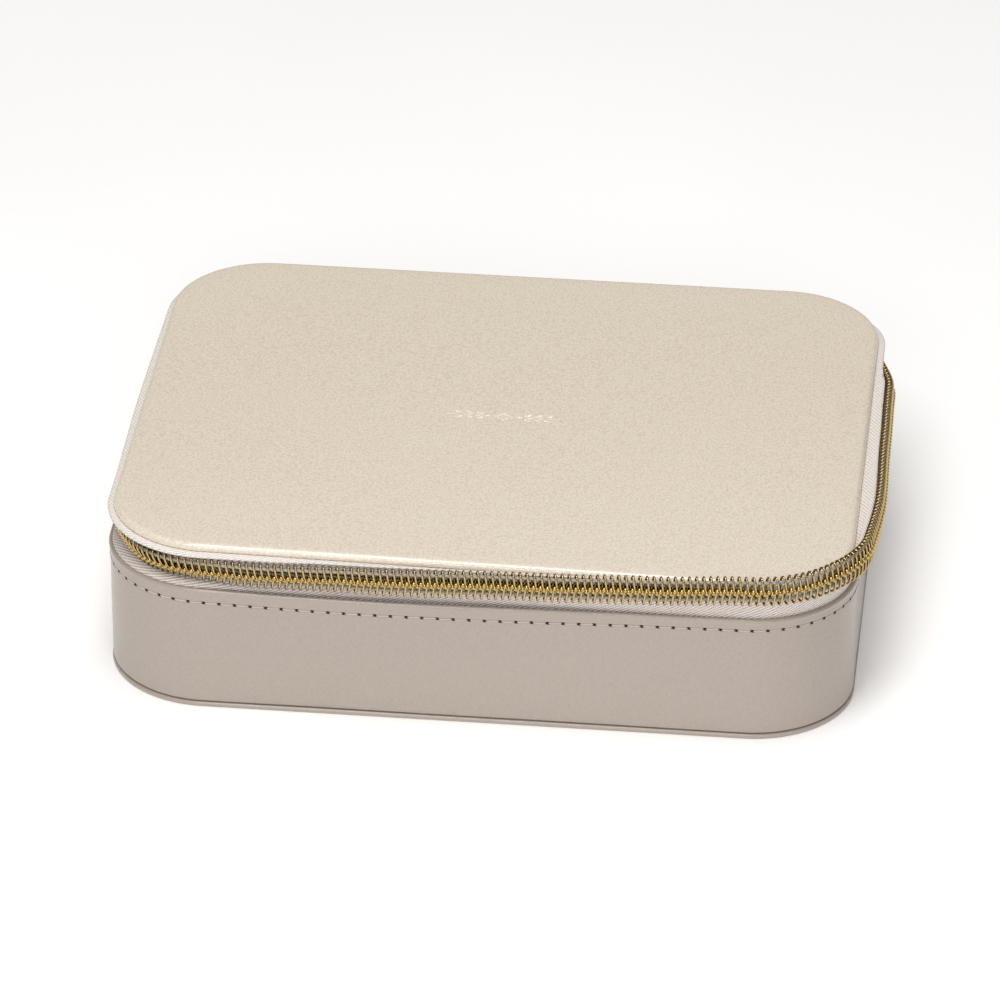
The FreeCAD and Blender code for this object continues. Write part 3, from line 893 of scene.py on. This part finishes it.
def coil(name, s0, s1, side):
    """Wire loops, with how far each point stands out and faces out; the material darkens the deep, inward
    parts and brightens the outward ones, as patina and rubbed plating together with painted shade and
    painted highlight.
    """
    path, marks = coil_path(s0, s1, side)
    beads, bead_marks = add_beads(path, marks)
    marks = marks + bead_marks
    points, faces = tube([path] + beads, WIRE, COIL_SIDES)
    centres = [place for part in [path] + beads for place, _, _ in part]
    wear_and_shade = []
    for index, point in enumerate(points):
        centre = centres[index // COIL_SIDES]
        outer, depth = marks[index // COIL_SIDES]
        wear_and_shade.append((0.5 + 0.5 * (point - centre).normalized().dot(outer.normalized()), depth))
    return make_piece(name, points, faces, COIL_METAL, places=wear_and_shade, labels=("rubbed_and_lit", "depth"))


def coil_core(name, s0, s1, side):
    """Cord inside the coil, sewn down with the loops."""
    count = int((s1 - s0) / COIL_PITCH * 4)
    path = []
    for step in range(count + 1):
        s = s0 + (s1 - s0) * step / count
        origin, facing, cross = chain_frame(s)
        pinch = 1 + 0.1 * math.cos(2 * math.pi * s / COIL_PITCH)
        spot = origin + facing * (CHAIN_THICK / 2) + cross * (side * CORE_SHARE * CHAIN_HALF * growth(s))
        path.append((spot, cross, pinch))
    return make_piece(name, *tube([path], CORE_RADIUS, 8), SHADED_CORE_YARN)


def upper_tape_section(s):
    """From under the lid out past its edge, over in a soft bulge, and down behind the upper coil."""
    lift = lid_lift_at(s)
    bulge = eased(TAPE_BULGE, s)
    seam = LID_SEAM + lift - TAPE_HALF_THICK
    top = chain_section_point(s, CHAIN_HALF + 0.1, -TAPE_HALF_THICK)
    edge = chain_section_point(s, TAPE_EDGE, -TAPE_HALF_THICK - 0.05)
    middle = (max(bulge, top[0] - 0.2), (seam + 0.1 + max(top[1], seam - 1.6)) / 2)
    line = smooth_line([
        (FLANGE_OUT, FLANGE_Z + lift),
        (-LID_INSET - 2.0, FLANGE_Z + lift),
        (-LID_INSET + 0.1, seam),
        middle,
        (top[0], min(top[1], seam + 0.4)),
        edge,
    ])
    return ribbon(line, TAPE_HALF_THICK)


def upper_tape_tail_section(s):
    """On the back the tape has no flange: it hangs from the lid's edge."""
    top = chain_section_point(s, CHAIN_HALF, -TAPE_HALF_THICK)
    edge = chain_section_point(s, TAPE_EDGE, -TAPE_HALF_THICK - 0.05)
    line = smooth_line([
        (-LID_INSET - 2.0, FLANGE_Z),
        (-LID_INSET + 0.1, LID_SEAM - TAPE_HALF_THICK),
        (top[0], top[1]),
        edge,
    ])
    return ribbon(line, TAPE_HALF_THICK)


def lower_tape_section(s):
    """Out of the wall behind the hem, leaning to the chain and up behind the lower coil."""
    lean = bow(s, HEM_Z)
    bottom = chain_section_point(s, -CHAIN_HALF - 0.1, -TAPE_HALF_THICK)
    edge = chain_section_point(s, -TAPE_EDGE, -TAPE_HALF_THICK - 0.05)
    out = TAPE_FACE - TAPE_HALF_THICK
    line = smooth_line([
        (out, lower_tape_low.z + 2.0),
        (out - 0.4 * lean, hem_z(s) - 1.0),
        (out - 0.2 * lean + 0.15, hem_z(s) + 0.5),
        (bottom[0] - 0.1, bottom[1]),
        edge,
    ])
    return ribbon(line, TAPE_HALF_THICK)


def zip_pieces():
    left, right = CORNER_X, ROUND - CORNER_X
    tail_left, tail_right = TAIL_END, ROUND - TAIL_END
    tape_left, tape_right = TAPE_END, ROUND - TAPE_END
    for word, side, body in (("upper", 1, "lid"), ("lower", -1, "case")):
        finish_piece(coil(word + "_coil", left, right, side), body, "zip_coil", word + "_zip_coil")
        finish_piece(coil_core(word + "_coil_core", left, right, side), body, "zip_tape")
        for end, s0, s1 in (("left", tail_left, left), ("right", right, tail_right)):
            loops = coil(f"{word}_coil_end_{end}", s0, min(s1, tail_right - COIL_PITCH), side)
            core = coil_core(f"{word}_core_end_{end}", s0, s1, side)
            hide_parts(f"{word}_coil_tail_{end}")
            for part in (loops, core):
                if body == "lid":
                    part_at_corner(part)
                else:
                    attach(part, "case")
    tape = swept("upper_tape", left, right, 1.5, upper_tape_section, UPPER_TWILL)
    finish_piece(tape, "lid", "zip_tape", "upper_zip_tape")
    tape = swept("lower_tape", tape_left, tape_right, 1.5, lower_tape_section, SHADED_LOWER_TWILL)
    finish_piece(tape, "case", "zip_tape", "lower_zip_tape")
    for end, s0, s1 in (("left", tape_left, left), ("right", right, tape_right)):
        tape = swept(f"upper_tape_end_{end}", s0, s1, 1.0, upper_tape_tail_section, UPPER_TWILL)
        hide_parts(f"upper_tape_tail_{end}")
        part_at_corner(tape)


def part_at_corner(piece):
    """The zip's end piece: its transform is baked into its mesh; it is not attached to the lid or the case.
    """
    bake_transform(piece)


# ---- back: spine and its lining ----


def spine():
    """Leatherette strip sewn to the wall and the lid."""
    foot, thick = spine_low.z, spine_high.y - HALF_Y

    def section(s):
        line = smooth_line([
            (thick / 2 - 0.05, foot + 0.2), (thick / 2, HEM_Z - 2), (thick / 2 + 0.1, BACK_CHAIN_Z),
            (thick / 2 - 0.1, LID_SEAM - 1.0), (-LID_INSET - 0.3, LID_SEAM - 0.35), (FLANGE_OUT, FLANGE_Z),
        ], 6)
        return ribbon(line, thick / 2 - 0.05)

    piece = swept("spine_strip", ROUND - SPINE_HALF, ROUND + SPINE_HALF, 1.5, section, SHADED_SKIN)
    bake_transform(piece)
    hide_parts("hinge_spine")


def spine_stitches():
    """Rows of stitches that hold the strip's foot and sides to the wall."""
    inset = 1.6
    out = spine_high.y - HALF_Y
    low, high = spine_low.z + inset, HEM_Z - 1.2
    half = SPINE_HALF - inset
    corners = [Vector((x, 0, z)) for x, z in ((-half, high), (-half, low), (half, low), (half, high))]
    paths = []
    for start, end in zip(corners, corners[1:]):
        count = round((end - start).length / STITCH_PITCH * 1.5)
        for index in range(count):
            path = []
            for step in range(7):
                t = step / 6
                spot = start.lerp(end, (index + 0.12 + 0.76 * t) / count)
                lift = 0.14 * math.sin(math.pi * t) ** 0.5 - 0.08
                path.append((Vector((spot.x, HALF_Y + out + lift, spot.z)), Vector((0, 1, 0)), 1.0))
            paths.append(path)
    thread = make_piece("spine_stitches", *tube(paths, STITCH_RADIUS, 6), THREAD)
    finish_piece(thread, "case", "thread")


def hinge_lining():
    """Velvet strip over the joint inside the back."""
    face = hinge_lining_high.y - HALF_Y - 0.35
    foot = hinge_lining_low.z
    top = hinge_lining_high.z - 0.35

    def section(s):
        line = smooth_line([
            (face + 0.1, foot + 0.2), (face, HEM_Z - 1.5), (face - 0.2, HEM_Z + 3.5),
            (face - 0.5, top - 2.0), (face - 1.6, top - 0.35), (face - 4.5, top),
            (hinge_lining_low.y - HALF_Y, top),
        ], 5)
        return ribbon(line, 0.28)

    half = hinge_lining_high.x
    piece = swept("hinge_velvet", ROUND - half, ROUND + half, 2.0, section, VELVET)
    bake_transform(piece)
    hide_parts("hinge_lining")


# ---- inside of the case ----


def case_lining():
    """Velvet up the inside of the walls and folded over the top of the frame."""
    face = box_inner_out()

    def section(s):
        top = HEM_Z - 0.3
        return [
            (face + 0.9, lining_low.z), (face, lining_low.z), (face - 0.02, 20.0), (face, top - 1.2),
            (face + 0.12, top - 0.5), (face + 0.5, top - 0.12), (face + 1.0, top), (-2.4, top),
            (-1.8, top - 0.2), (-1.66, top - 0.7), (-1.8, top - 1.0), (face + 1.0, top - 1.0),
        ]

    finish_piece(swept("wall_velvet", 0, ROUND, 2.0, section, VELVET), "case", "velvet", "wall_lining")


def box_inner_out():
    """How far inside the wall's outer face the lining's visible face stands."""
    reach = (CORNER_Y + 0.5) * MM
    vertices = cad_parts["wall_lining"].data.vertices
    return min(v.co.x for v in vertices if v.co.x > 0 and abs(v.co.y) < reach) / MM - HALF_X


def softened(node, name, material, body, slot_name, width, segments=2):
    """The CAD shape with rounded edges."""
    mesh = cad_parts[node].data.copy()
    bm = bmesh.new()
    bm.from_mesh(mesh)
    bmesh.ops.remove_doubles(bm, verts=bm.verts, dist=0.00001)
    bmesh.ops.dissolve_limit(bm, angle_limit=math.radians(2), verts=bm.verts, edges=bm.edges)
    sharp = [e for e in bm.edges if len(e.link_faces) == 2 and e.calc_face_angle() > math.radians(25)]
    bmesh.ops.bevel(bm, geom=sharp, offset=width * MM, segments=segments, affect="EDGES", profile=0.6,
                    clamp_overlap=True)
    bm.to_mesh(mesh)
    bm.free()
    mesh.shade_smooth()
    mesh.set_sharp_from_angle(angle=math.radians(40))
    finish_piece(link_piece(name, mesh, material), body, slot_name, node)


def mirror_frame():
    """Padded leatherette frame round the mirror."""
    centre_y = (mirror_low.y + mirror_high.y) / 2
    half_x, half_y = mirror_high.x, (mirror_high.y - mirror_low.y) / 2
    border = mirror_frame_high.x - mirror_high.x
    radius = 8.0
    low, high = mirror_frame_low.z, lid_lining_high.z + 0.7
    section = [
        (-0.4, high), (-0.4, low + 0.5), (-0.1, low + 0.12), (0.5, low), (border - 1.2, low + 0.05),
        (border - 0.4, low + 0.3), (border, low + 0.9), (border, high),
    ]
    per_corner, per_side = 10, 12
    rim = []
    for quarter, (sx, sy) in enumerate([(1, 1), (-1, 1), (-1, -1), (1, -1)]):
        centre = Vector((sx * (half_x - radius), sy * (half_y - radius) + centre_y, 0))
        for k in range(per_corner + 1):
            angle = math.radians(90 * quarter + 90 * k / per_corner)
            outward = Vector((math.cos(angle), math.sin(angle), 0))
            rim.append((centre + outward * radius, outward))
    full = []
    for index, (spot, outward) in enumerate(rim):
        full.append((spot, outward))
        if index % (per_corner + 1) == per_corner:
            ahead, _ = rim[(index + 1) % len(rim)]
            full += [(spot.lerp(ahead, k / per_side), outward) for k in range(1, per_side)]
    size = len(section)
    points = [spot + outward * out + Vector((0, 0, z)) for spot, outward in full for out, z in section]
    faces = []
    for index in range(len(full)):
        faces += band(index * size, (index + 1) % len(full) * size, size)
    piece = make_piece("mirror_border", points, faces, SHADED_SKIN)
    finish_piece(piece, "lid", "leatherette", "mirror_frame")


# ---- padded ring rolls ----

ROLLS = 7
ROLL_VOXEL = 3.2
ROLL_SHRINK = 1.1
ROLL_CAP = 1.6


def roll_mesh():
    """One stuffed roll: the plain shape swells under its cover by cloth simulation."""
    low, high = box_mm("ring_roll_4")
    source = bpy.data.objects.new("roll_source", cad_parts["ring_roll_4"].data.copy())
    bpy.context.scene.collection.objects.link(source)
    centre = (low + high) / 2
    for vertex in source.data.vertices:
        place = vertex.co / MM - centre
        for axis in range(3):
            half = (high[axis] - low[axis]) / 2
            place[axis] *= (half - ROLL_SHRINK) / half
        vertex.co = (place + centre) * MM
    activate(source)
    remesh = source.modifiers.new("remesh", "REMESH")
    remesh.mode = "VOXEL"
    remesh.voxel_size = ROLL_VOXEL * MM
    bpy.ops.object.modifier_apply(modifier=remesh.name)
    start = [v.co.copy() for v in source.data.vertices]
    inflate(source)
    for vertex, before in zip(source.data.vertices, start):
        move = vertex.co - before
        if move.length > ROLL_CAP * MM:
            vertex.co = before + move.normalized() * ROLL_CAP * MM
    smooth = source.modifiers.new("subdivide", "SUBSURF")
    smooth.levels = 1
    smooth.render_levels = 1
    bpy.ops.object.modifier_apply(modifier=smooth.name)
    mesh = source.data
    bpy.data.objects.remove(source)
    return mesh, low, high


def activate(piece):
    bpy.context.view_layer.objects.active = piece
    for other in bpy.context.selected_objects:
        other.select_set(False)
    piece.select_set(True)


def inflate(piece):
    """Cloth with inner pressure and no gravity, stepped for a few frames and applied."""
    cloth = piece.modifiers.new("cloth", "CLOTH")
    cloth.settings.use_pressure = True
    cloth.settings.uniform_pressure_force = 4.0
    cloth.settings.effector_weights.gravity = 0.0
    cloth.settings.quality = 5
    cloth.point_cache.frame_start = 1
    cloth.point_cache.frame_end = 20
    for step in range(1, 21):
        bpy.context.scene.frame_set(step)
    bpy.ops.object.modifier_apply(modifier=cloth.name)
    bpy.context.scene.frame_set(1)


def ring_rolls():
    mesh, low, high = roll_mesh()
    middle_y = (low.y + high.y) / 2
    width = high.y - low.y
    room_out = box_inner_out() - 0.45
    for number in range(1, ROLLS + 1):
        node_low, node_high = box_mm(f"ring_roll_{number}")
        own = mesh.copy()
        target_y = node_low.y + width / 2 if number < ROLLS else node_high.y - width / 2
        for vertex in own.vertices:
            place = vertex.co / MM
            across = (place.y - middle_y) / (width / 2)
            tuft = 0.45 * (1 - across * across) * math.sin(place.x * 0.21 + number * 1.7)
            place.y += target_y - middle_y
            if place.z > high.z - 9:
                place.z += 0.35 * tuft
            keep_inside(place, room_out)
            vertex.co = place * MM
        own.shade_smooth()
        piece = link_piece(f"stuffed_roll_{number}", own, VELVET)
        finish_piece(piece, "case", "velvet", f"ring_roll_{number}")


def keep_inside(place, out):
    """Holds a point inside the lined case, rounded corners included."""
    radius = CORNER_RADIUS + out
    cx, cy = CORNER_X, CORNER_Y
    dx, dy = abs(place.x) - cx, abs(place.y) - cy
    if dx > 0 and dy > 0:
        reach = math.hypot(dx, dy)
        if reach > radius:
            place.x = math.copysign(cx + dx * radius / reach, place.x)
            place.y = math.copysign(cy + dy * radius / reach, place.y)
    else:
        place.x = math.copysign(min(abs(place.x), HALF_X + out), place.x)
        place.y = math.copysign(min(abs(place.y), HALF_Y + out), place.y)


# ---- camera, light and floor ----

FIT_AZIMUTH = 5.68
FIT_ELEVATION = 30.0
FIT_ROLL = 0.43
FIT_LENS = 248.65
FIT_DISTANCE = 1.990
SHIFT_X = -0.0037
SHIFT_Y = -0.0090
FLOOR_HALF = 6000.0


def make_camera():
    azimuth, elevation, roll = (math.radians(v) for v in (FIT_AZIMUTH, FIT_ELEVATION, FIT_ROLL))
    back = Vector((
        math.sin(azimuth) * math.cos(elevation),
        -math.cos(azimuth) * math.cos(elevation),
        math.sin(elevation),
    ))
    right = Vector((math.cos(azimuth), math.sin(azimuth), 0))
    up = back.cross(right)
    rolled_right = right * math.cos(roll) + up * math.sin(roll)
    rolled_up = up * math.cos(roll) - right * math.sin(roll)
    target = Vector((0, 0, LID_TOP * MM / 2))
    turn = Matrix((rolled_right, rolled_up, back)).transposed().to_4x4()
    data = bpy.data.cameras.new("camera")
    data.sensor_width = 36.0
    data.lens = FIT_LENS
    data.shift_x = SHIFT_X
    data.shift_y = SHIFT_Y
    data.clip_start = 0.05
    data.clip_end = 50.0
    camera = bpy.data.objects.new("camera", data)
    camera.matrix_world = Matrix.Translation(target + back * FIT_DISTANCE) @ turn
    bpy.context.scene.collection.objects.link(camera)
    bpy.context.scene.camera = camera


def area_light(name, place, aim, size, energy, colour):
    data = bpy.data.lights.new(name, "AREA")
    data.shape = "RECTANGLE"
    data.size, data.size_y = size
    data.energy = energy
    data.color = colour
    light = bpy.data.objects.new(name, data)
    light.location = place
    light.rotation_euler = (Vector(aim) - Vector(place)).to_track_quat("-Z", "Y").to_euler()
    bpy.context.scene.collection.objects.link(light)


def make_studio():
    scene = bpy.context.scene
    scene.view_settings.view_transform = "Standard"
    world = bpy.data.worlds.new("studio")
    world.use_nodes = True
    set_constants(world.node_tree.nodes["Background"], Color=(1.0, 0.97, 0.94, 1), Strength=0.30)
    scene.world = world
    area_light("key", (-0.15, -0.45, 1.5), (-0.1, -0.35, 0.03), (0.5, 1.6), 18.0, (1.0, 0.985, 0.965))
    area_light("front", (0.1, -1.5, 0.8), (0, 0, 0.02), (1.0, 0.4), 7.0, (0.98, 0.99, 1.0))
    floor_material, tree, shader = new_material("pale_floor")
    mottle = object_noise(tree, 6.0, 2.0)
    paint(tree, shader, ramp(tree, mottle, (0.93, 0.93, 0.93), (0.96, 0.96, 0.96)))
    set_constants(shader, Roughness=0.9, Specular_IOR_Level=0.1, Emission_Color=(1.0, 1.0, 1.0, 1),
                  Emission_Strength=0.15)
    points = [(x * FLOOR_HALF, y * FLOOR_HALF, 0) for x, y in ((-1, -1), (1, -1), (1, 1), (-1, 1))]
    floor = make_piece("floor", points, [(0, 1, 2, 3)], floor_material)


# ---- everything in place ----

make_camera()
make_studio()
base_tray()
wall_cover()
hem_stitches()
case_lining()
zip_pieces()
spine()
spine_stitches()
hinge_lining()
lid_panel()
warped_copy("lid_board", BOARD, "board")
warped_copy("lid_pad", FOAM, "foam")
lid_lining()
mirror_frame()
for part in ("divider_long", "divider_cross", "divider_short"):
    softened(part, part + "_velvet", VELVET, "case", "velvet", 0.9, 3)
softened("zip_slider", "slider_body", BRASS, "slider", "brass", 0.16)
softened("zip_pull", "pull_tab", BRASS, "pull", "brass", 0.16)
softened("zip_bottom_stop", "bottom_stop", BRASS, "case", "brass", 0.16)
ring_rolls()
for node, material in (("wall_frame", BOARD), ("floor_lining", VELVET), ("mirror", MIRROR)):
    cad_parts[node].data.materials.clear()
    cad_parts[node].data.materials.append(material)
